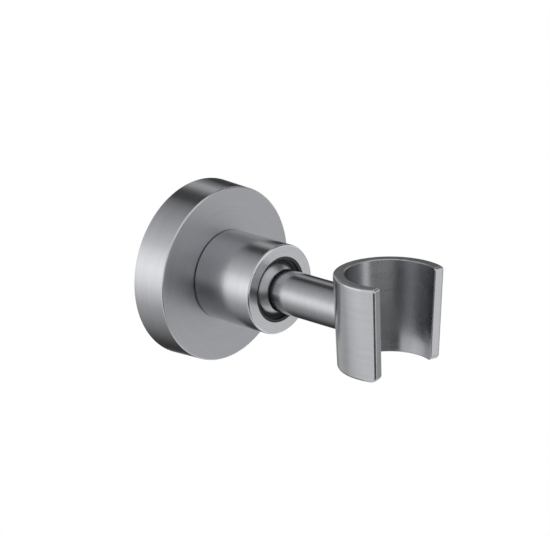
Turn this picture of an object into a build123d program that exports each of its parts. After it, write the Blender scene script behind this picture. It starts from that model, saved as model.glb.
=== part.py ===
from build123d import *
import os
from math import sqrt

# Wall bracket for a hand shower: a round flange, a ball joint in a turned socket, an arm and an open clip.
# Millimetres. The origin is the centre of the flange's back, on the wall. The arm points along -Y, +Z is up.
# Distances from the wall are positive here and become -Y in at().

# flange, the round cover on the wall
flange_diameter = 50.0
flange_draft = 0.5            # how much smaller the front radius is than the back one
flange_depth = 10.5
flange_wall = 2.0
flange_plate = 3.0            # thickness of the front
flange_edge = 0.4

# wall plate inside the flange
plate_gap = 0.15              # between the plate and the flange, all round
plate_front_gap = 1.5         # between the plate and the flange's front
plate_pocket_room = 1.0       # round the washer
plate_nut_gap = 0.5           # behind the hub's end
slot_width = 4.5
slot_length = 6.0
slot_edge = 2.35              # from a slot's end to the plate's rim
slot_countersink = 1.6

# grub screw that holds the flange on the wall plate
grub_diameter = 4.0
grub_tip_diameter = 1.6
grub_height = 3.2             # from the wall
grub_groove = 1.2             # depth of the groove that it seats in
grub_recess = 0.35            # how far it lies below the outside of the flange
grub_key = 2.0                # across flats
grub_key_depth = 1.4

# hub, which carries the socket on the flange
hub_length = 6.5              # in front of the flange
hub_floor = 1.5               # under the cup's pocket
hub_wall = 2.75               # from its thread to the cup's pocket
hub_shank = 12.0
hub_shank_beyond = 0.5        # past the nut
hub_end_wall = 2.0            # behind the spring
hub_chamfer = 0.5
washer_diameter = 20.0
washer_thickness = 1.0
nut_wall = 2.5
nut_thickness = 4.0

# ball joint
ball_diameter = 20.0
ball_clearance = 0.1
neck_step = 0.6               # how much smaller the neck's radius is than the arm's
neck_end = 1.0                # in front of the socket's front
stud_diameter = 8.0
stud_end_gap = 1.0            # left in the arm's hole past the stud

# socket, the round boss that the ball sits in
socket_wall = 1.8             # round the ring
socket_thread_wall = 1.45     # round the hub's thread
socket_lip = 1.1              # thickness of the lip in front of the ring
socket_lip_reach = 1.55       # from the chamber's wall to the mouth
socket_seam = 0.3             # gap to the flange
socket_edge = 0.6
socket_runout = 0.7           # of its thread, past the hub

# nylon ring in front of the ball, and cup and spring behind it
ring_wall = 0.55              # round the ball's widest
ring_width = 2.85             # from its outside to its mouth
ring_length = 4.9
ring_bevel = 0.5
cup_floor = 0.7
cup_back_gap = 0.2            # from the floor of its pocket
cup_length = 4.0
cup_spigot_length = 1.0
cup_spigot_gap = 0.3          # to the spring, all round
cup_hole_diameter = 2.4
spring_wire = 1.2
spring_diameter = 8.2
spring_turns = 4.25
spring_gap = 0.2              # to the hub's bore, all round

# arm
arm_diameter = 12.0
arm_edge = 0.3
arm_core = 2.0                # left between its two holes

# clip, the tapered ring that is open in front
clip_reach = 70.5             # from the wall to its axis
clip_above = 13.2             # its top, over the arm's axis
clip_below = 12.2
clip_top_diameter = 30.2
clip_bottom_diameter = 27.8
clip_wall = 2.9
clip_mouth_depth = 3.4        # where the mouth's two faces would meet, in front of the axis
clip_mouth_slope = 0.22       # how far those faces lean forwards
clip_top_corner = 0.8
clip_bottom_corner = 1.6
clip_lip_round = 0.65         # runs right round the clip's outer edge
clip_bore_round = 0.25

# countersunk screw that holds the clip on the arm
screw_diameter = 5.0
screw_length = 10.0
screw_end_gap = 1.5           # left in the arm's tapped hole past the screw
screw_head_diameter = 9.2
screw_key = 3.0
screw_key_depth = 1.6

thread_gap = 0.05             # all round, between two threads that are modelled as plain cylinders
sliding_gap = 0.08            # all round
overcut = 1.0                 # how far a cut runs past the face that it opens

# flange, nut and wall plate, from the front to the wall
flange_radius = flange_diameter / 2
front_back = flange_depth - flange_plate
nut_front = front_back - washer_thickness
nut_back = nut_front - nut_thickness
hub_shank_end = nut_back - hub_shank_beyond
hub_bore_end = hub_shank_end + hub_end_wall
plate_floor = hub_shank_end - plate_nut_gap
plate_thickness = front_back - plate_front_gap
plate_radius = flange_radius - flange_wall - plate_gap
plate_pocket_radius = washer_diameter / 2 + plate_pocket_room
groove_radius = plate_radius - grub_groove
grub_length = flange_wall + plate_gap + grub_groove - grub_recess
slot_place = plate_radius - slot_edge - slot_length / 2

# ball joint, from the flange to the arm
ball_radius = ball_diameter / 2
seat_radius = ball_radius + ball_clearance
hub_front = flange_depth + hub_length
pocket_floor = flange_depth + hub_floor
cup_back = pocket_floor + cup_back_gap
ball_place = cup_back + cup_floor + seat_radius
ring_radius = seat_radius + ring_wall
ring_mouth_radius = ring_radius - ring_width
seat_edge = ball_place + sqrt(seat_radius ** 2 - ring_mouth_radius ** 2)
lip_back = seat_edge + ring_bevel
socket_front = lip_back + socket_lip
chamber_radius = ring_radius + thread_gap
socket_radius = chamber_radius + socket_wall
hub_radius = socket_radius - socket_thread_wall - thread_gap
hub_pocket_radius = hub_radius - hub_wall
hub_bore_radius = spring_diameter / 2 + spring_gap

# arm and clip
arm_radius = arm_diameter / 2
neck_radius = arm_radius - neck_step
arm_start = socket_front + neck_end
clip_height = clip_above + clip_below
clip_slope = (clip_top_diameter - clip_bottom_diameter) / 2 / clip_height
clip_middle_radius = clip_bottom_diameter / 2 + clip_slope * clip_below
arm_end = clip_reach - clip_middle_radius
screw_depth = screw_length - clip_wall + screw_end_gap
stud_length = arm_end - screw_depth - arm_core - stud_end_gap - arm_start


def at(radius, from_wall):
    """A point of a turned piece's outline."""
    return (radius, -from_wall)


def turned(*outline):
    """A piece turned about the arm's axis, from the outline of one side."""
    return revolve(make_face(Polyline(*outline, close=True)), Axis.Y)


def disc(radius, start, end):
    """A plain cylinder on the arm's axis between two distances from the wall."""
    return turned(at(0, start), at(radius, start), at(radius, end), at(0, end))


def hexagon(flats, start, end):
    """A hexagonal bar on the arm's axis."""
    sketch = Plane.XZ * RegularPolygon(flats / 2, 6, major_radius=False)
    return Pos(0, -start, 0) * extrude(sketch, end - start)


def ball_seat(radius):
    return Pos(0, -ball_place, 0) * Sphere(radius)


def make_flange():
    front = flange_radius - flange_draft
    cover = turned(at(0, 0), at(flange_radius, 0), at(front, flange_depth), at(0, flange_depth))
    cover = fillet(cover.edges().sort_by(Axis.Y)[0], min(flange_edge, flange_plate / 2))
    cover -= disc(flange_radius - flange_wall, 0, front_back)
    cover -= disc(hub_shank / 2 + sliding_gap, 0, flange_depth)
    return cover - grub_hole()


def grub_hole():
    tall = flange_wall + 2 * overcut
    place = Pos(0, -grub_height, -flange_radius + flange_wall / 2)
    return place * Cylinder(grub_diameter / 2 + thread_gap, tall)


def make_wall_plate():
    narrow = grub_tip_diameter / 2
    wide = narrow + grub_groove
    plate = turned(at(0, 0), at(plate_radius, 0), at(plate_radius, grub_height - wide),
                   at(groove_radius, grub_height - narrow), at(groove_radius, grub_height + narrow),
                   at(plate_radius, grub_height + wide), at(plate_radius, plate_thickness),
                   at(0, plate_thickness))
    plate -= disc(plate_pocket_radius, plate_floor, plate_thickness)
    for side in (-1, 1):
        place = Pos(side * slot_place, 0, 0)
        plate -= place * slot(slot_width, slot_length, 0, plate_thickness)
        wide = slot_width + 2 * slot_countersink
        deep = plate_thickness - slot_countersink
        plate -= place * countersunk_slot(wide, slot_length + 2 * slot_countersink, deep)
    return plate


def slot(width, length, start, end):
    sketch = Plane.XZ * SlotOverall(length, width)
    return Pos(0, -start, 0) * extrude(sketch, end - start)


def countersunk_slot(wide, length, deep):
    """The tapered mouth of a screw slot, from its narrow end to the plate's front."""
    narrow = Plane.XZ.offset(deep) * SlotOverall(slot_length, slot_width)
    mouth = Plane.XZ.offset(plate_thickness) * SlotOverall(length, wide)
    return loft([narrow, mouth])


def make_grub_screw():
    low = -groove_radius - grub_length
    tip = grub_tip_diameter / 2
    cone = grub_diameter / 2 - tip
    outline = Polyline((0, low), (grub_diameter / 2, low), (grub_diameter / 2, low + grub_length - cone),
                       (tip, low + grub_length), (0, low + grub_length), close=True)
    screw = revolve(Plane.XZ * make_face(outline), Axis.Z)
    screw -= Pos(0, 0, low) * extrude(RegularPolygon(grub_key / 2, 6, major_radius=False), grub_key_depth)
    return Pos(0, -grub_height, 0) * screw


def make_hub():
    shank = hub_shank / 2
    hub = turned(at(0, hub_shank_end), at(shank - hub_chamfer, hub_shank_end),
                 at(shank, hub_shank_end + hub_chamfer), at(shank, flange_depth),
                 at(hub_radius, flange_depth), at(hub_radius, hub_front - hub_chamfer),
                 at(hub_radius - hub_chamfer, hub_front), at(0, hub_front))
    hub -= disc(hub_pocket_radius, pocket_floor, hub_front)
    return hub - disc(hub_bore_radius, hub_bore_end, pocket_floor)


def make_washer():
    ring = disc(washer_diameter / 2, nut_front, front_back)
    return ring - disc(hub_shank / 2 + sliding_gap, nut_front, front_back)


def make_nut():
    flat = hub_shank / 2 + nut_wall
    corner = 2 * flat / sqrt(3)
    nut = hexagon(2 * flat, nut_back, nut_front)
    rounded = turned(at(0, nut_back), at(flat, nut_back), at(corner, nut_back + corner - flat),
                     at(corner, nut_front), at(0, nut_front))
    return (nut & rounded) - disc(hub_shank / 2 + thread_gap, nut_back, nut_front)


def make_socket():
    back = flange_depth + socket_seam
    socket = disc(socket_radius, back, socket_front)
    socket = fillet(socket.edges().sort_by(Axis.Y)[0], min(socket_edge, socket_wall / 2))
    socket -= disc(chamber_radius - socket_lip_reach, back, socket_front)
    socket -= disc(chamber_radius, back, lip_back)
    return socket - disc(hub_radius + thread_gap, back, hub_front + socket_runout)


def make_friction_ring():
    edge = ring_mouth_radius
    ring = disc(ring_radius, lip_back - ring_length, lip_back)
    ring -= ball_seat(seat_radius)
    ring -= disc(edge, ball_place, lip_back)
    return ring - turned(at(0, seat_edge), at(edge, seat_edge), at(edge + ring_bevel, lip_back),
                         at(0, lip_back))


def make_cup():
    spigot = spring_diameter / 2 - spring_wire - cup_spigot_gap
    outside = hub_pocket_radius - sliding_gap
    cup = turned(at(0, cup_back - cup_spigot_length), at(spigot, cup_back - cup_spigot_length),
                 at(spigot, cup_back), at(outside, cup_back), at(outside, cup_back + cup_length),
                 at(0, cup_back + cup_length))
    cup -= ball_seat(seat_radius)
    return cup - disc(cup_hole_diameter / 2, cup_back - cup_spigot_length, cup_back + cup_length)


def make_spring():
    length = cup_back - hub_bore_end
    path = Helix(length / spring_turns, length, (spring_diameter - spring_wire) / 2)
    wire = sweep(Plane(origin=path @ 0, z_dir=path % 0) * Circle(spring_wire / 2), path)
    coil = Pos(0, -hub_bore_end, 0) * Rot(90, 0, 0) * wire
    return coil & disc(spring_diameter, hub_bore_end, cup_back)


def make_ball():
    ball = ball_seat(ball_radius) & disc(ball_radius, ball_place - ball_radius, arm_start)
    ball += disc(neck_radius, ball_place, arm_start)
    ball += disc(stud_diameter / 2, ball_place, arm_start + stud_length)
    return chamfer(ball.edges().sort_by(Axis.Y)[0], min(hub_chamfer, stud_diameter / 8))


def clip_radius(height):
    """The clip's outer radius at a height over the arm's axis."""
    return clip_middle_radius + clip_slope * height


def clip_cone(inset, beyond):
    """The clip's outside, or its bore with inset set to the wall, that far beyond its top and bottom."""
    low = -clip_below - beyond
    high = clip_above + beyond
    outline = Polyline((0, low), (clip_radius(low) - inset, low), (clip_radius(high) - inset, high),
                       (0, high), close=True)
    return Pos(0, -clip_reach, 0) * revolve(Plane.XZ * make_face(outline), Axis.Z)


def clip_mouth():
    """The wedge cut out of the clip's front: its faces lean forwards from a point near the axis."""
    wide = clip_top_diameter
    far = clip_mouth_depth + clip_mouth_slope * wide
    outline = Polyline((0, -clip_mouth_depth), (wide, -far), (wide, -far - wide), (-wide, -far - wide),
                       (-wide, -far), close=True)
    return Pos(0, -clip_reach, -clip_below - overcut) * extrude(make_face(outline), clip_height + 2 * overcut)


def lip_edges(body, height):
    """The two short edges across the wall at the mouth, at the clip's top or bottom."""
    return [e for e in body.edges() if e.center().Y < -clip_reach and abs(e.center().Z - height) < 0.01
            and e.geom_type == GeomType.LINE]


def upright_edges(body, outer):
    """The two edges of the mouth that run down the clip's outside, or down its bore."""
    middle = (clip_top_diameter + clip_bottom_diameter) / 4 - clip_wall / 2
    found = []
    for e in body.edges():
        c = e.center()
        tall = e.bounding_box().size.Z > clip_height / 2
        away = sqrt(c.X ** 2 + (c.Y + clip_reach) ** 2)
        if tall and c.Y < -clip_reach and (away > middle) == outer:
            found.append(e)
    return found


def screw_hole():
    """The countersunk hole in the clip's back, from the bore's side."""
    bore = arm_end + clip_wall
    head = screw_head_diameter / 2 + sliding_gap
    shank = screw_diameter / 2 + sliding_gap
    back = bore - clip_wall - overcut
    front = bore + overcut
    return turned(at(0, back), at(shank, back), at(shank, bore - head + shank), at(head, bore),
                  at(head, front), at(0, front))


def make_clip():
    clip = clip_cone(0, 0) - clip_cone(clip_wall, overcut) - clip_mouth()
    clip = fillet(lip_edges(clip, clip_above), min(clip_top_corner, clip_height / 4))
    clip = fillet(lip_edges(clip, -clip_below), min(clip_bottom_corner, clip_height / 4))
    clip = fillet(upright_edges(clip, True), min(clip_lip_round, clip_wall / 3))
    clip = fillet(upright_edges(clip, False), min(clip_bore_round, clip_wall / 6))
    return clip - screw_hole()


def make_arm():
    arm = disc(arm_radius, arm_start, clip_reach)
    arm = chamfer(arm.edges().sort_by(Axis.Y)[-1], arm_edge)
    arm -= disc(stud_diameter / 2 + sliding_gap, arm_start, arm_start + stud_length + stud_end_gap)
    arm -= clip_cone(0, clip_height)
    return arm - disc(screw_diameter / 2 + thread_gap, arm_end - screw_depth, arm_end + overcut)


def make_clip_screw():
    face = arm_end + clip_wall
    head = screw_head_diameter / 2
    shank = screw_diameter / 2
    screw = turned(at(0, face - screw_length), at(shank - hub_chamfer, face - screw_length),
                   at(shank, face - screw_length + hub_chamfer), at(shank, face - head + shank),
                   at(head, face), at(0, face))
    return screw - hexagon(screw_key, face - screw_key_depth, face)


pieces = {
    "flange": make_flange(),
    "wall_plate": make_wall_plate(),
    "grub_screw": make_grub_screw(),
    "hub": make_hub(),
    "hub_washer": make_washer(),
    "hub_nut": make_nut(),
    "socket": make_socket(),
    "friction_ring": make_friction_ring(),
    "pressure_cup": make_cup(),
    "spring": make_spring(),
    "ball": make_ball(),
    "arm": make_arm(),
    "clip": make_clip(),
    "clip_screw": make_clip_screw(),
}

os.makedirs("parts", exist_ok=True)
for name, piece in pieces.items():
    piece.label = name
    export_step(piece, f"parts/{name}.step")
    print(name, round(piece.volume, 1))
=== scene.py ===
import bmesh
import bpy
from math import atan2, cos, pi, radians, sin, sqrt
from mathutils import Matrix, Vector


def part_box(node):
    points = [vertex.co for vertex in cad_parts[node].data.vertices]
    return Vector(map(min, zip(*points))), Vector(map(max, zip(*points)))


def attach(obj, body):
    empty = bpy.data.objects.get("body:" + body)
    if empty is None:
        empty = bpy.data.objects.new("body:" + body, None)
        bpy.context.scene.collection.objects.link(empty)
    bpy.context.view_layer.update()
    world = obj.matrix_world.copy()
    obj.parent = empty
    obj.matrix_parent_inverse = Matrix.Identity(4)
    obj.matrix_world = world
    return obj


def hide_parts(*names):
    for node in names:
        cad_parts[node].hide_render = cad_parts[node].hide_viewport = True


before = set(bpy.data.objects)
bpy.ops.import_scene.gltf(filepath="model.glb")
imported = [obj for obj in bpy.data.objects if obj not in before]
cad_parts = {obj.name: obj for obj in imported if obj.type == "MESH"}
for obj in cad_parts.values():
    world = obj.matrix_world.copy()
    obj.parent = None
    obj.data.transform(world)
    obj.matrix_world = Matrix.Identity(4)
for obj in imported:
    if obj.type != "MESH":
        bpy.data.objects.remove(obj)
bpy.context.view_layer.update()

# A wall bracket for a hand shower, in brushed stainless steel. The arm's axis is Y, and it points away from
# the wall along -Y. Sizes in the dictionaries are in mm, and pieces are scaled to metres when they are made.

mm = 0.001


def boxOf(node):  # a node's lowest and highest corner in mm
    low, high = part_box(node)
    return Vector(low) / mm, Vector(high) / mm


class Wire:  # one output of a node, with arithmetic on it
    def __init__(self, board, socket):
        self.board = board
        self.socket = socket

    def sum(self, operation, *others):
        return self.board.add("ShaderNodeMath", {"operation": operation}, dict(enumerate(others)))

    def pick(self, name):  # another output of the same node
        return Wire(self.board, self.socket.node.outputs[name])

    def swing(self, reach):  # a noise as a change up or down, by reach at the most
        return (self - 0.5) * (2 * reach)

    def __add__(self, other):
        return self.sum("ADD", self, other)

    def __sub__(self, other):
        return self.sum("SUBTRACT", self, other)

    def __rsub__(self, other):
        return self.sum("SUBTRACT", other, self)

    def __mul__(self, other):
        return self.sum("MULTIPLY", self, other)

    def __truediv__(self, other):
        return self.sum("DIVIDE", self, other)

    def __rtruediv__(self, other):
        return self.sum("DIVIDE", other, self)

    def __pow__(self, other):
        return self.sum("POWER", self, other)

    def __abs__(self):
        return self.sum("ABSOLUTE", self)

    __radd__ = __add__
    __rmul__ = __mul__


class Board:  # the nodes of one material or world
    def __init__(self, tree):
        self.tree = tree
        tree.nodes.clear()

    def add(self, kind, settings=None, inputs=None):
        node = self.tree.nodes.new(kind)
        for name, value in (settings or {}).items():
            if name == "stops":
                self.setStops(node.color_ramp, value)
            else:
                setattr(node, name, value)
        for name, value in (inputs or {}).items():
            if isinstance(value, Wire):
                self.tree.links.new(value.socket, node.inputs[name])
            else:
                node.inputs[name].default_value = value
        return Wire(self, node.outputs[0]) if node.outputs else node

    def setStops(self, ramp, stops):
        while len(ramp.elements) < len(stops):
            ramp.elements.new(0.5)
        for element, (position, value) in zip(ramp.elements, stops):
            element.position = position
            element.color = (value, value, value, 1)

    def place(self, centre=(0, 0, 0), turn=(0, 0, 0), scale=(1, 1, 1)):  # Object coordinates, in mm
        coordinates = self.add("ShaderNodeTexCoord").pick("Object")
        back = [-value for value in centre]
        moved = self.add("ShaderNodeMapping", {}, {
            "Vector": coordinates, "Location": back, "Scale": (1 / mm, 1 / mm, 1 / mm)})
        return self.add("ShaderNodeMapping", {}, {"Vector": moved, "Rotation": turn, "Scale": scale})

    def parts(self, vector):
        split = self.add("ShaderNodeSeparateXYZ", {}, {0: vector})
        return split, split.pick("Y"), split.pick("Z")

    def vector(self, x, y, z):
        return self.add("ShaderNodeCombineXYZ", {}, {0: x, 1: y, 2: z})

    def noise(self, vector, scale=1.0, detail=2.0, roughness=0.5):
        return self.add("ShaderNodeTexNoise", {}, {
            "Vector": vector, "Scale": scale, "Detail": detail, "Roughness": roughness})

    def fade(self, value, start, end):  # 0 at start and 1 at end, with soft shoulders
        return self.add("ShaderNodeMapRange", {"interpolation_type": "SMOOTHSTEP"}, {
            "Value": value, "From Min": start, "From Max": end})

    def blend(self, share, first, second):  # two colours
        return self.add("ShaderNodeMix", {"data_type": "RGBA"}, {0: share, 6: first, 7: second}).pick(2)

    def bump(self, height, depth):  # depth in mm for a height of 1
        return self.add("ShaderNodeBump", {}, {"Strength": 1.0, "Distance": depth * mm, "Height": height})

    def surface(self, values):
        shader = self.add("ShaderNodeBsdfPrincipled", {}, values)
        self.add("ShaderNodeOutputMaterial", {}, {"Surface": shader})


def newMaterial(name):
    material = bpy.data.materials.new(name)
    material.use_nodes = True
    return material, Board(material.node_tree)


print("bracket: camera and studio")

view = {
    "aim": (0, -40, 0),  # the middle of the bracket
    "distance": 650,
    "azimuth": -46.97,  # in degrees from the arm's own direction, to its left
    "elevation": 18.49,
    "lookAt": (-3.71, -32.58, 7.33),
    "roll": -0.436,
    "lens": 158.76,
    "sensor": 36,
    "nearest": 0.01,  # in metres, what the camera sees
    "farthest": 100,
}


def towards(azimuth, elevation):
    a = radians(azimuth)
    e = radians(elevation)
    return Vector((sin(a) * cos(e), -cos(a) * cos(e), sin(e)))


def makeCamera():
    place = (Vector(view["aim"]) + view["distance"] * towards(view["azimuth"], view["elevation"])) * mm
    look = Vector(view["lookAt"]) * mm - place
    data = bpy.data.cameras.new("camera")
    data.sensor_width = view["sensor"]
    data.lens = view["lens"]
    data.clip_start = view["nearest"]
    data.clip_end = view["farthest"]
    camera = bpy.data.objects.new("camera", data)
    turn = look.to_track_quat("-Z", "Y").to_matrix().to_4x4()
    roll = Matrix.Rotation(radians(view["roll"]), 4, "Z")
    camera.matrix_world = Matrix.Translation(place) @ turn @ roll
    bpy.context.scene.collection.objects.link(camera)
    bpy.context.scene.camera = camera


makeCamera()
bpy.context.scene.view_settings.view_transform = "Standard"


def makeWhite(board, rest, kind):  # white to the eye and in the metal, and "rest" to everything else
    path = board.add("ShaderNodeLightPath")
    seen = path.pick("Is Camera Ray") + path.pick("Is Glossy Ray") + path.pick("Is Transmission Ray")
    white = board.add(kind, {}, {"Color": (1, 1, 1, 1), "Strength": 1})
    return board.add("ShaderNodeMixShader", {}, {0: seen, 1: rest, 2: white})


studio = {
    "air": ((0.97, 0.985, 1, 1), 0.7),  # colour and strength of the soft light from all round
    "paper": (0.86, 0.86, 0.86, 1),
    "floor": -1000,  # height, well under the bracket, which hangs on a wall
    "floorSize": 20000,
}


def makeWorld():
    world = bpy.data.worlds.new("studio")
    world.use_nodes = True
    bpy.context.scene.world = world
    board = Board(world.node_tree)
    colour, strength = studio["air"]
    air = board.add("ShaderNodeBackground", {}, {"Color": colour, "Strength": strength})
    board.add("ShaderNodeOutputWorld", {}, {"Surface": makeWhite(board, air, "ShaderNodeBackground")})


def stand(name, shape, material, hidden):  # a piece of the studio, whose shape is in mm
    bmesh.ops.scale(shape, vec=(mm, mm, mm), verts=shape.verts)
    mesh = bpy.data.meshes.new(name)
    shape.to_mesh(mesh)
    shape.free()
    mesh.materials.append(material)
    piece = bpy.data.objects.new(name, mesh)
    bpy.context.scene.collection.objects.link(piece)
    piece.visible_camera = not hidden
    piece.visible_shadow = not hidden


def makeFloor():
    material, board = newMaterial("whitePaper")
    paper = board.add("ShaderNodeBsdfDiffuse", {}, {"Color": studio["paper"]})
    board.add("ShaderNodeOutputMaterial", {}, {"Surface": makeWhite(board, paper, "ShaderNodeEmission")})
    shape = bmesh.new()
    bmesh.ops.create_grid(shape, x_segments=1, y_segments=1, size=studio["floorSize"] / 2)
    bmesh.ops.translate(shape, vec=(0, 0, studio["floor"]), verts=shape.verts)
    stand("floor", shape, material, False)


cards = {  # cards that show in the metal but not to the camera. A glow goes by degrees round the bracket
    "backCard": {
        "azimuth": 180, "elevation": 0, "distance": 660, "size": (760, 760), "glow": {0: 0.6}},
    "frontCard": {
        "azimuth": 42, "elevation": -22, "distance": 800, "size": (1700, 700),
        "glow": {12: 1.15, 28: 1.0, 44: 0.7, 50: 0.66, 65: 0.5, 80: 0.42}},
    "cameraCard": {
        "azimuth": -32, "elevation": -23, "distance": 500, "size": (800, 270), "glow": {0: 0.09}},
    "upperCard": {
        "azimuth": 68, "elevation": 42, "distance": 600, "size": (520, 420), "glow": {0: 0.12}},
    "lensCard": {
        "azimuth": -46, "elevation": 20, "distance": 500, "size": (470, 330), "glow": {0: 0.75}},
    "lowerCard": {
        "azimuth": -18, "elevation": -44, "distance": 500, "size": (560, 260), "glow": {0: 0.36}},
}


def glowingCloth(name, axes, glow):  # cloth that glows by the angle between two of its Object coordinates
    material, board = newMaterial(name)
    first, second = axes(*board.parts(board.place(view["aim"])))
    brightest = max(glow.values())
    stops = [((turn + 180) / 360, level / brightest) for turn, level in glow.items()]
    angle = first.sum("ARCTAN2", first, second) / (2 * pi) + 0.5
    share = board.add("ShaderNodeValToRGB", {"stops": stops}, {0: angle})
    cloth = board.add("ShaderNodeEmission", {}, {"Color": (1, 1, 1, 1), "Strength": share * brightest})
    board.add("ShaderNodeOutputMaterial", {}, {"Surface": cloth})
    return material


def makeCard(name, values):
    shape = bmesh.new()
    bmesh.ops.create_grid(shape, x_segments=1, y_segments=1, size=0.5)  # 1 by 1
    wide, high = values["size"]
    bmesh.ops.scale(shape, vec=(wide, high, 1), verts=shape.verts)
    way = towards(values["azimuth"], values["elevation"])
    place = Matrix.Translation(Vector(view["aim"]) + values["distance"] * way)
    turn = (-way).to_track_quat("Z", "Y").to_matrix().to_4x4()
    bmesh.ops.transform(shape, matrix=place @ turn, verts=shape.verts)
    stand(name, shape, glowingCloth(name, lambda x, y, z: (x, y * -1), values["glow"]), True)


tent = {  # a tube of cloth behind the wall, round the arm's axis
    "radius": 380,
    "start": 60,
    "end": 620,
    "sides": 120,
    "glow": {  # by degrees, from the left upwards
        -180: 0.05, -165: 0.4, -145: 0.4, -128: 0.06, -110: 0.05, -97: 0.1, -85: 0.2, -60: 0.45, -42: 0.62,
        -25: 1.0, -10: 1.4, 5: 1.6, 20: 1.4, 36: 0.95, 55: 0.7, 83: 0.42, 95: 0.26, 103: 0.07, 116: 0.07,
        121: 0.14, 127: 0.42, 137: 0.66, 142: 0.52, 148: 0.27, 154: 0.22, 158: 0.08, 163: 0.03, 180: 0.05},
}


def makeTent():
    shape = bmesh.new()
    ring = bmesh.ops.create_circle(shape, segments=tent["sides"], radius=tent["radius"])["verts"]
    bmesh.ops.rotate(shape, verts=ring, cent=(0, 0, 0), matrix=Matrix.Rotation(radians(90), 3, "X"))
    bmesh.ops.translate(shape, verts=ring, vec=(0, tent["start"], 0))
    drawn = bmesh.ops.extrude_edge_only(shape, edges=shape.edges[:])["geom"]
    far = [item for item in drawn if isinstance(item, bmesh.types.BMVert)]
    bmesh.ops.translate(shape, verts=far, vec=(0, tent["end"] - tent["start"], 0))
    stand("tent", shape, glowingCloth("tentCloth", lambda x, y, z: (z, x * -1), tent["glow"]), True)


makeWorld()
makeFloor()
makeTent()
for name, values in cards.items():
    makeCard(name, values)

print("bracket: finishes")

scratches = {
    "gap": 5.0,  # between two scratches
    "width": 0.05,
    "core": 0.3,  # share of the width at full strength
    "sets": [((0.4, 0.9, 0.2), 0.02), ((1.3, -0.5, 1.1), 0.03)],  # turn, and bends for each mm of a scratch
    "shift": 40,  # brings each set a part of the cloud of its own
    "cloudScale": 0.16,
    "level": 0.75,  # the cloud's level above which there are scratches, for a share of 0
    "drop": 0.4,  # how much lower it is for a share of 1
    "soft": 0.05,
}

plainGrain = {  # what every steel finish starts from
    "centre": (0, 0, 0),
    "axis": "Y",  # the axis that the piece was turned and brushed about
    "tone": 0.47,
    "tint": (0.985, 1.0, 1.045),
    "roughness": 0.2,
    "brightest": 2,  # the most that the changes may make of the tone
    "lines": 5.0,  # fine brush lines for each mm
    "streaks": 2.2,  # how often a line changes on its way round
    "lineDetail": 3.0,
    "lineFuzz": 0.65,
    "lineDepth": 0.0016,  # of the relief, in which lines, bands and scratches have the heights below
    "lineTone": 0.1,
    "lineHeight": 0.75,
    "bands": 0.9,  # broader tool bands for each mm
    "bandStreaks": 0.7,
    "bandTone": 0.05,
    "bandRoughness": 0.02,
    "bandHeight": 0.5,
    "cloudSize": 6.0,
    "cloudDetail": 3.0,
    "cloudRoughness": 0.05,
    "hairs": 0.35,  # share of the surface with odd hairline scratches
    "hairTone": 0.04,
    "hairHeight": -0.3,
    "edges": [],  # radius and place along the axis of the edges that are rubbed smoother and lightened by a painted highlight
    "edgeWidth": 0.35,
    # how much lighter the edges are made: a painted highlight
    "edgeTone": 0.12,
    "edgeRoughness": 0.05,
    "boreSoft": 0.2,  # half the width over which a bore's or a front's own finish comes in
    "frontSoft": 0.1,
}

tiny = 0.001  # keeps a radius that is divided by from being 0


def turnedFrame(board, values):  # radius, place along the axis, and the direction round it
    x, y, z = board.parts(board.place(values["centre"]))
    along, across = (y, z) if values["axis"] == "Y" else (z, y)
    radius = (x * x + across * across) ** 0.5
    safe = radius + tiny
    return radius, along, x / safe, across / safe


# a mask along the rubbed edges, for their real polish and for a painted highlight on them
def rubbedAndHighlitEdges(board, radius, along, values):
    mask = None
    for edgeRadius, edgePlace in values["edges"]:
        out = radius - edgeRadius
        off = along - edgePlace
        near = board.fade((out * out + off * off) ** 0.5, values["edgeWidth"], 0.0)
        mask = near if mask is None else mask.sum("MAXIMUM", mask, near)
    return mask


def hairlines(board, values):  # two sets of thin scratches, each only where a cloud allows it
    v = scratches
    edge = v["width"] / v["gap"]  # how far the noise moves across half a scratch
    level = v["level"] - values["hairs"] * v["drop"]
    total = None
    for turn, bends in v["sets"]:
        noise = board.noise(board.place(values["centre"], turn, (bends, 1 / v["gap"], bends)), 1.0, 0.0)
        line = board.fade(abs(noise - 0.5), edge, edge * v["core"])
        cloud = board.noise(board.place([angle * v["shift"] for angle in turn]), v["cloudScale"], 1.0)
        where = board.fade(cloud, level, level + v["soft"])
        total = line * where if total is None else total + line * where
    return total


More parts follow.
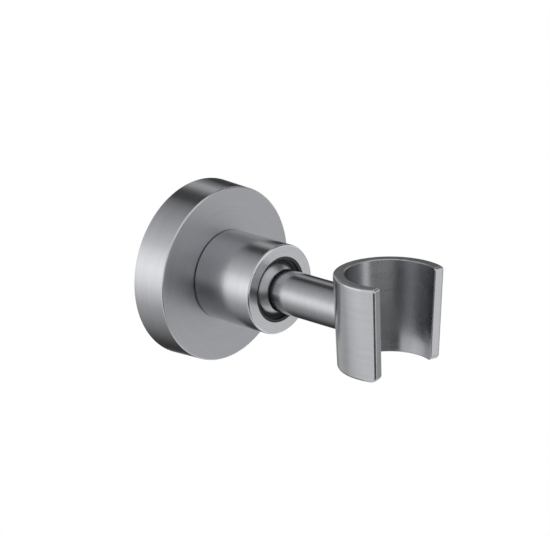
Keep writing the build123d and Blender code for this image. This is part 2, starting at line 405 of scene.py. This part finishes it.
def turnedSteel(name, **changes):
    v = {**plainGrain, **changes}
    material, board = newMaterial(name)
    radius, along, cosine, sine = turnedFrame(board, v)
    across = along + radius
    course = board.vector(cosine * v["streaks"], across * v["lines"], sine * v["streaks"])
    fine = board.noise(course, 1.0, v["lineDetail"], v["lineFuzz"])
    bands = board.noise(board.vector(cosine * v["bandStreaks"], across * v["bands"], sine * v["bandStreaks"]))
    clouds = board.noise(board.place(v["centre"]), 1 / v["cloudSize"], v["cloudDetail"])
    hairs = hairlines(board, v)
    tone = 1 + fine.swing(v["lineTone"]) + bands.swing(v["bandTone"]) + hairs * v["hairTone"]
    roughness = v["roughness"] + clouds.swing(v["cloudRoughness"]) + bands.swing(v["bandRoughness"])
    edges = rubbedAndHighlitEdges(board, radius, along, v)
    # the edges' lighter tone is a painted highlight; their lower roughness is the real rubbing
    if edges is not None:
        tone = tone + edges * v["edgeTone"]
        roughness = roughness - edges * v["edgeRoughness"]
    if "bore" in v:  # left rougher and duller by its tool
        bore = v["bore"]
        inside = board.fade(
            radius - along * bore["slope"], bore["radius"] + v["boreSoft"], bore["radius"] - v["boreSoft"])
        tone = tone * (1 - inside * (1 - bore["tone"]))
        roughness = roughness + inside * bore["roughness"]
    if "front" in v:  # faced by another tool than the sides
        front = v["front"]
        faced = board.fade(along, front["place"] + v["frontSoft"], front["place"] - v["frontSoft"])
        tone = tone + faced * front["tone"]
        roughness = roughness + faced * front["roughness"]
    dark = (0, 0, 0, 1)
    light = [v["brightest"] * v["tone"] * part for part in v["tint"]] + [1]
    height = fine * v["lineHeight"] + bands * v["bandHeight"] + hairs * v["hairHeight"]
    board.surface({
        "Base Color": board.blend(tone / v["brightest"], dark, light),
        "Metallic": 1.0,
        "Roughness": roughness,
        "Normal": board.bump(height, v["lineDepth"]),
    })
    return material


nylon = {
    "colour": (0.017, 0.017, 0.019, 1),
    "worn": (0.04, 0.04, 0.042, 1),
    "roughness": 0.38,
    "grainSize": 0.25,
    "grainDetail": 3.0,
    "grainFuzz": 0.6,
    "grainDepth": 0.006,
    "grainHeight": 0.7,
    "grainRoughness": 0.07,
    "bloomScale": 0.3,
    "bloomDetail": 3.0,
    "bloomStart": 0.4,  # the noise's levels between which the worn colour comes in
    "bloomEnd": 0.75,
    "bloomRoughness": 0.06,
    "flowStreaks": 1.5,
    "flowLines": 2.0,  # for each mm
    "flowHeight": 0.6,
}


def blackNylon(name):  # moulded, with a fine even grain and a paler bloom in patches
    v = nylon
    material, board = newMaterial(name)
    place = board.place()
    grain = board.noise(place, 1 / v["grainSize"], v["grainDetail"], v["grainFuzz"])
    bloom = board.noise(place, v["bloomScale"], v["bloomDetail"])
    radius, along, cosine, sine = turnedFrame(board, plainGrain)
    across = along + radius
    flow = board.noise(
        board.vector(cosine * v["flowStreaks"], across * v["flowLines"], sine * v["flowStreaks"]))
    board.surface({
        "Base Color": board.blend(board.fade(bloom, v["bloomStart"], v["bloomEnd"]), v["colour"], v["worn"]),
        "Metallic": 0.0,
        "Roughness": v["roughness"] + grain.swing(v["grainRoughness"]) + bloom.swing(v["bloomRoughness"]),
        "Normal": board.bump(grain * v["grainHeight"] + flow * v["flowHeight"], v["grainDepth"]),
    })
    return material


flangeLow, flangeHigh = boxOf("flange")
socketLow, socketHigh = boxOf("socket")
armHigh = boxOf("arm")[1]
clipLow, clipHigh = boxOf("clip")
ballHigh = boxOf("ball")[1]
plateLow, plateHigh = boxOf("wall_plate")
screwLow, screwHigh = boxOf("clip_screw")
grubLow, grubHigh = boxOf("grub_screw")
hubLow, hubHigh = boxOf("hub")
grubCentre = (0, (grubLow.y + grubHigh.y) / 2, 0)

clipShape = {
    "centre": (0, -70.5, 0),  # the axis of its ring
    "slope": 0.047,  # how much its radius grows for each mm of height
    "radius": 14.48,  # outside, at the arm's height
    "bore": 11.58,
    "boreFinish": 0.35,  # how far into the wall the bore's finish goes
}
clipTop = clipShape["radius"] + clipShape["slope"] * clipHigh.z
clipBottom = clipShape["radius"] + clipShape["slope"] * clipLow.z

inset = {  # how far the worked edges and fronts lie inside a piece's box
    "flangeRim": 0.6,
    "flangeEdge": 0.1,
    "flangeFront": 0.05,
    "socketEdge": 0.3,
    "socketFront": 0.2,
    "clipEdge": 0.3,
}

finishes = {
    "flange": turnedSteel(
        "flangeSteel", lines=4.0, bands=0.7, cloudSize=9.0,
        front={"place": flangeLow.y + inset["flangeFront"], "tone": 0.0, "roughness": 0.26},
        edges=[(flangeHigh.x - inset["flangeRim"], flangeLow.y + inset["flangeEdge"])]),
    "socket": turnedSteel(
        "socketSteel", lines=5.0,
        front={"place": socketLow.y + inset["socketFront"], "tone": 0.35, "roughness": 0.06},
        edgeTone=0.03, edges=[(socketHigh.x - inset["socketEdge"], socketLow.y + inset["socketEdge"])]),
    "arm": turnedSteel("armSteel", tone=0.4, lines=5.5, roughness=0.19, edges=[(armHigh.x, armHigh.y)]),
    "clip": turnedSteel(
        "clipSteel", centre=clipShape["centre"], axis="Z", lines=4.5, cloudSize=7.0, edgeWidth=0.5, hairs=0.2,
        bore={"radius": clipShape["bore"] + clipShape["boreFinish"], "slope": clipShape["slope"],
              "tone": 0.84, "roughness": 0.07},
        edges=[(clipTop, clipHigh.z - inset["clipEdge"]), (clipBottom, clipLow.z + inset["clipEdge"])]),
    "ball": turnedSteel(
        "ballSteel", tone=0.42, roughness=0.32, lines=7.0, lineDepth=0.0012, lineTone=0.06, hairs=0.15),
    "wall_plate": turnedSteel(
        "plateSteel", tone=0.44, roughness=0.34, lines=3.0, lineDepth=0.003, cloudRoughness=0.1,
        edges=[(plateHigh.x, plateLow.y)]),
    "hub": turnedSteel("hubSteel", tone=0.5, roughness=0.26, lines=4.0, lineDepth=0.002),
    "hub_washer": turnedSteel(
        "washerSteel", tone=0.48, roughness=0.36, lines=3.0, cloudSize=4.0, cloudRoughness=0.1),
    "hub_nut": turnedSteel("nutSteel", tone=0.48, roughness=0.28, lines=3.0, lineDepth=0.002, hairs=0.6),
    "spring": turnedSteel(
        "springSteel", tone=0.42, roughness=0.24, lines=8.0, cloudSize=3.0, lineDepth=0.0008),
    "clip_screw": turnedSteel(
        "screwSteel", tone=0.5, roughness=0.24, lines=5.0, bandTone=0.08, edges=[(screwHigh.x, screwLow.y)]),
    "grub_screw": turnedSteel(
        "grubSteel", tone=0.16, roughness=0.32, lines=5.0, axis="Z", centre=grubCentre,
        edges=[(grubHigh.x, grubLow.z)]),
    "friction_ring": blackNylon("ringNylon"),
    "pressure_cup": blackNylon("cupNylon"),
}
for node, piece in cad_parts.items():
    piece.data.materials.clear()
    piece.data.materials.append(finishes[node])

print("bracket: threaded pieces and the ring")

making = {
    "weld": 0.0001,  # points nearer than this are one
    "sharp": 11,  # degrees between two faces from which their edge is sharp
    "keyCone": 0.15,  # depth of the cone at the bottom of a key hole, for each mm of the key
    "threadSunk": 0.15,  # how far a thread's foot is sunk into the core
    "threadFoot": 0.44,  # half the width of its foot and of its crest, for each mm of pitch
    "threadCrest": 0.07,
    "threadStart": 0.2,  # share of its height that a thread has at its ends
    "threadGrowth": 3,  # what that share gains in a turn
}


def lathe(shape, outline, steps, closed=False):  # radii and depths, turned about Z with depth going down
    line = [shape.verts.new((radius, 0, -deep)) for radius, deep in outline]
    edges = [shape.edges.new(pair) for pair in zip(line, line[1:])]
    if closed:
        edges.append(shape.edges.new((line[-1], line[0])))
    bmesh.ops.spin(shape, geom=line + edges, cent=(0, 0, 0), axis=(0, 0, 1), dvec=(0, 0, 0), angle=2 * pi,
                   steps=steps, use_merge=True)
    bmesh.ops.remove_doubles(shape, verts=shape.verts, dist=making["weld"])


def cutThread(shape, values):  # a helical ridge on a core, whose ends run out into the core
    steps = values["steps"]
    turns = (values["end"] - values["start"]) / values["pitch"]
    sunk = values["root"] - making["threadSunk"]
    foot = values["pitch"] * making["threadFoot"]
    crest = values["pitch"] * making["threadCrest"]
    points = ((sunk, -foot), (values["radius"], -crest), (values["radius"], crest), (sunk, foot))
    section = [shape.verts.new((radius, 0, -values["start"] - off)) for radius, off in points]
    edges = [shape.edges.new(pair) for pair in zip(section, section[1:] + section[:1])]
    count = len(shape.verts)
    total = round(turns * steps)
    drawn = bmesh.ops.spin(shape, geom=section + edges, cent=(0, 0, 0), axis=(0, 0, 1),
                           dvec=(0, 0, -values["pitch"] / steps), angle=total * 2 * pi / steps, steps=total)
    last = [item for item in drawn["geom_last"] if isinstance(item, bmesh.types.BMEdge)]
    shape.verts.ensure_lookup_table()
    for vert in section + shape.verts[count:]:
        done = (-vert.co.z - values["start"]) / values["pitch"]
        height = making["threadStart"] + making["threadGrowth"] * min(done, turns - done)
        share = max(0.0, min(1.0, height))
        radius = sqrt(vert.co.x ** 2 + vert.co.y ** 2)
        scale = (sunk + (radius - sunk) * share) / radius
        vert.co.x *= scale
        vert.co.y *= scale
    bmesh.ops.contextual_create(shape, geom=edges)
    bmesh.ops.contextual_create(shape, geom=last)


def drawIn(shape, edges, depth):  # draws a wall down from these edges and gives its end's points and edges
    drawn = bmesh.ops.extrude_edge_only(shape, edges=edges)["geom"]
    points = [item for item in drawn if isinstance(item, bmesh.types.BMVert)]
    bmesh.ops.translate(shape, vec=(0, 0, -depth), verts=points)
    return points, [item for item in drawn if isinstance(item, bmesh.types.BMEdge)]


def sinkHexagon(shape, values):  # a hexagonal key hole in the open end at depth 0
    rim = [edge for edge in shape.edges if edge.is_boundary]
    points, hexagon = drawIn(shape, rim, values["keyBevel"])
    for point in points:
        angle = atan2(point.co.y, point.co.x)
        radius = values["key"] / 2 / cos(angle % (pi / 3) - pi / 6)
        point.co.x = radius * cos(angle)
        point.co.y = radius * sin(angle)
    bottom = drawIn(shape, hexagon, values["keyDepth"])[1]
    face = bmesh.ops.contextual_create(shape, geom=bottom)["faces"]
    cone = bmesh.ops.poke(shape, faces=face)["verts"]
    bmesh.ops.translate(shape, vec=(0, 0, -values["key"] * making["keyCone"]), verts=cone)


def finishPiece(name, shape, place, node, body):
    bmesh.ops.transform(shape, matrix=place, verts=shape.verts)
    bmesh.ops.scale(shape, vec=(mm, mm, mm), verts=shape.verts)
    bmesh.ops.recalc_face_normals(shape, faces=shape.faces)
    for face in shape.faces:
        face.smooth = True
    mesh = bpy.data.meshes.new(name)
    shape.to_mesh(mesh)
    shape.free()
    mesh.set_sharp_from_angle(angle=radians(making["sharp"]))
    mesh.materials.append(finishes[node])
    piece = bpy.data.objects.new(name, mesh)
    bpy.context.scene.collection.objects.link(piece)
    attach(piece, body)
    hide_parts(node)


def alongWall(depth):  # turns a lathed shape's axis to Y, with its depth going towards the wall
    return Matrix.Translation((0, depth, 0)) @ Matrix.Rotation(radians(90), 4, "X")


clipScrew = {
    "headRadius": screwHigh.x,
    "headReach": 2.1,  # how far the head reaches past the shank
    "length": screwHigh.y - screwLow.y,
    "rimBevel": 0.12,
    "rimSlope": 0.4,  # depth of that bevel for each mm of its width
    "rimCone": 0.15,  # where the head's cone begins, in from the rim
    "key": 3.0,
    "keyDepth": 1.5,
    "keyBevel": 0.1,
    "keyRim": 1.95,  # radius of the chamfer round the key hole
    "pitch": 0.8,
    "threadDepth": 0.45,
    "plain": 0.6,  # between the head and the thread
    "endBevel": 0.5,
    "steps": 48,
}


def makeClipScrew():
    v = clipScrew
    shape = bmesh.new()
    radius = v["headRadius"] - v["headReach"]
    neck = v["headRadius"] - radius
    root = radius - v["threadDepth"]
    rim = v["rimBevel"] * v["rimSlope"]
    lathe(shape, [
        (v["keyRim"], 0), (v["headRadius"] - v["rimBevel"], 0), (v["headRadius"], rim),
        (v["headRadius"] - v["rimCone"], rim + v["rimCone"]), (radius, neck), (radius, neck + v["plain"] / 2),
        (root, neck + v["plain"]), (root, v["length"] - v["endBevel"]), (root - v["endBevel"], v["length"]),
        (0, v["length"])], v["steps"])
    sinkHexagon(shape, v)
    cutThread(shape, {"radius": radius, "root": root, "pitch": v["pitch"], "steps": v["steps"],
                      "start": neck + v["plain"], "end": v["length"] - v["endBevel"]})
    finishPiece("clipScrewThreaded", shape, alongWall(screwLow.y), "clip_screw", "arm")


grubScrew = {
    "radius": grubHigh.x,
    "length": grubHigh.z - grubLow.z,
    "tip": 0.8,
    "key": 2.0,
    "keyDepth": 1.3,
    "keyBevel": 0.1,
    "keyRim": 1.3,
    "pitch": 0.7,
    "threadDepth": 0.38,
    "faceStep": 0.05,  # how much narrower the core is at its face
    "faceBevel": 0.3,
    "steps": 48,
}


def makeGrubScrew():
    v = grubScrew
    shape = bmesh.new()
    root = v["radius"] - v["threadDepth"]
    cone = v["length"] - (v["radius"] - v["tip"])
    lathe(shape, [
        (v["keyRim"], 0), (root - v["faceStep"], 0), (root, v["faceBevel"] / 2),
        (root, cone + v["threadDepth"]), (v["tip"], v["length"]), (0, v["length"])], v["steps"])
    sinkHexagon(shape, v)
    cutThread(shape, {"radius": v["radius"], "root": root, "pitch": v["pitch"], "steps": v["steps"],
                      "start": v["faceBevel"], "end": cone})
    upright = Matrix.Translation((0, grubCentre[1], grubLow.z)) @ Matrix.Rotation(radians(180), 4, "X")
    finishPiece("grubScrewThreaded", shape, upright, "grub_screw", "base")


hub = {
    "radius": hubHigh.x,
    "length": hubHigh.y - hubLow.y,
    "frontLength": 6.5,  # the wide part that the socket screws on
    "frontStep": 0.1,  # how much narrower the core is at its front
    "pocketRadius": 8.25,
    "pocketDepth": 5.0,
    "pocketBevel": 0.3,
    "boreRadius": 4.3,
    "boreBevel": 0.2,
    "boreEnd": 2.0,  # left behind the spring
    "boreCone": 0.8,
    "shankRadius": 6.0,
    "shankPlain": 3.0,  # between the wide part and the shank's thread
    "pitch": 1.5,
    "threadDepth": 0.85,
    "shankPitch": 1.25,
    "shankThreadDepth": 0.7,
    "collar": 0.7,
    "bevel": 0.5,
    "taper": 0.4,  # from a full radius to a thread's core
    "threadIn": 0.3,  # between a bevel and a thread
    "threadOut": 0.6,  # between a thread and a full radius
    "steps": 96,
}


def makeHub():
    v = hub
    shape = bmesh.new()
    root = v["radius"] - v["threadDepth"]
    shankRoot = v["shankRadius"] - v["shankThreadDepth"]
    floor = v["length"] - v["boreEnd"]
    front = v["frontLength"]
    collar = front - v["collar"]
    plain = front + v["shankPlain"]
    end = v["length"] - v["bevel"]
    lathe(shape, [
        (0, floor + v["boreCone"]), (v["boreRadius"], floor),
        (v["boreRadius"], v["pocketDepth"] + v["boreBevel"]),
        (v["boreRadius"] + v["boreBevel"], v["pocketDepth"]), (v["pocketRadius"], v["pocketDepth"]),
        (v["pocketRadius"], v["pocketBevel"]), (v["pocketRadius"] + v["pocketBevel"], 0),
        (root - v["frontStep"], 0), (root, v["bevel"]), (root, collar - v["taper"]), (v["radius"], collar),
        (v["radius"], front), (v["shankRadius"], front), (v["shankRadius"], plain),
        (shankRoot, plain + v["taper"]), (shankRoot, end), (shankRoot - v["taper"], v["length"]),
        (0, v["length"])], v["steps"])
    cutThread(shape, {"radius": v["radius"], "root": root, "pitch": v["pitch"], "steps": v["steps"],
                      "start": v["bevel"] + v["threadIn"], "end": collar - v["threadOut"]})
    cutThread(shape, {"radius": v["shankRadius"], "root": shankRoot, "pitch": v["shankPitch"],
                      "steps": v["steps"], "start": plain + v["threadOut"], "end": end - v["threadIn"]})
    finishPiece("hubThreaded", shape, alongWall(hubLow.y), "hub", "base")


frictionRing = {
    "mouth": 7.8,
    "bevel": 0.5,
    "clearance": 0.1,  # round the ball
    "socketMouth": 9.15,
    "collarGap": 0.06,  # between the collar and the socket's mouth
    "collarWall": 0.7,
    "collarBelow": 0.12,  # how far the collar stays behind the socket's front
    "round": 0.1,
    "arcSteps": 16,
    "steps": 128,
}


def makeFrictionRing():
    v = frictionRing
    low, high = boxOf("friction_ring")
    seat = ballHigh.x + v["clearance"]
    centre = ballHigh.y - ballHigh.x - socketLow.y  # depth of the ball's centre from the socket's front
    front = low.y - socketLow.y
    back = high.y - socketLow.y
    outside = v["socketMouth"] - v["collarGap"]
    inside = outside - v["collarWall"]
    collar = v["collarBelow"]
    outline = [
        (outside, front), (outside, collar + v["round"]), (outside - v["round"], collar),
        (inside + v["round"], collar), (inside, collar + v["round"]), (inside, front),
        (v["mouth"] + v["bevel"], front)]
    mouth = centre - sqrt(seat ** 2 - v["mouth"] ** 2)
    for step in range(v["arcSteps"] + 1):
        deep = mouth + (back - mouth) * step / v["arcSteps"]
        outline.append((sqrt(seat ** 2 - (centre - deep) ** 2), deep))
    outline += [
        (high.x - v["round"], back), (high.x, back - v["round"]), (high.x, front + v["round"]),
        (high.x - v["round"], front)]
    shape = bmesh.new()
    lathe(shape, outline, v["steps"], True)
    finishPiece("frictionRingMoulded", shape, alongWall(socketLow.y), "friction_ring", "base")


makeClipScrew()
makeGrubScrew()
makeHub()
makeFrictionRing()
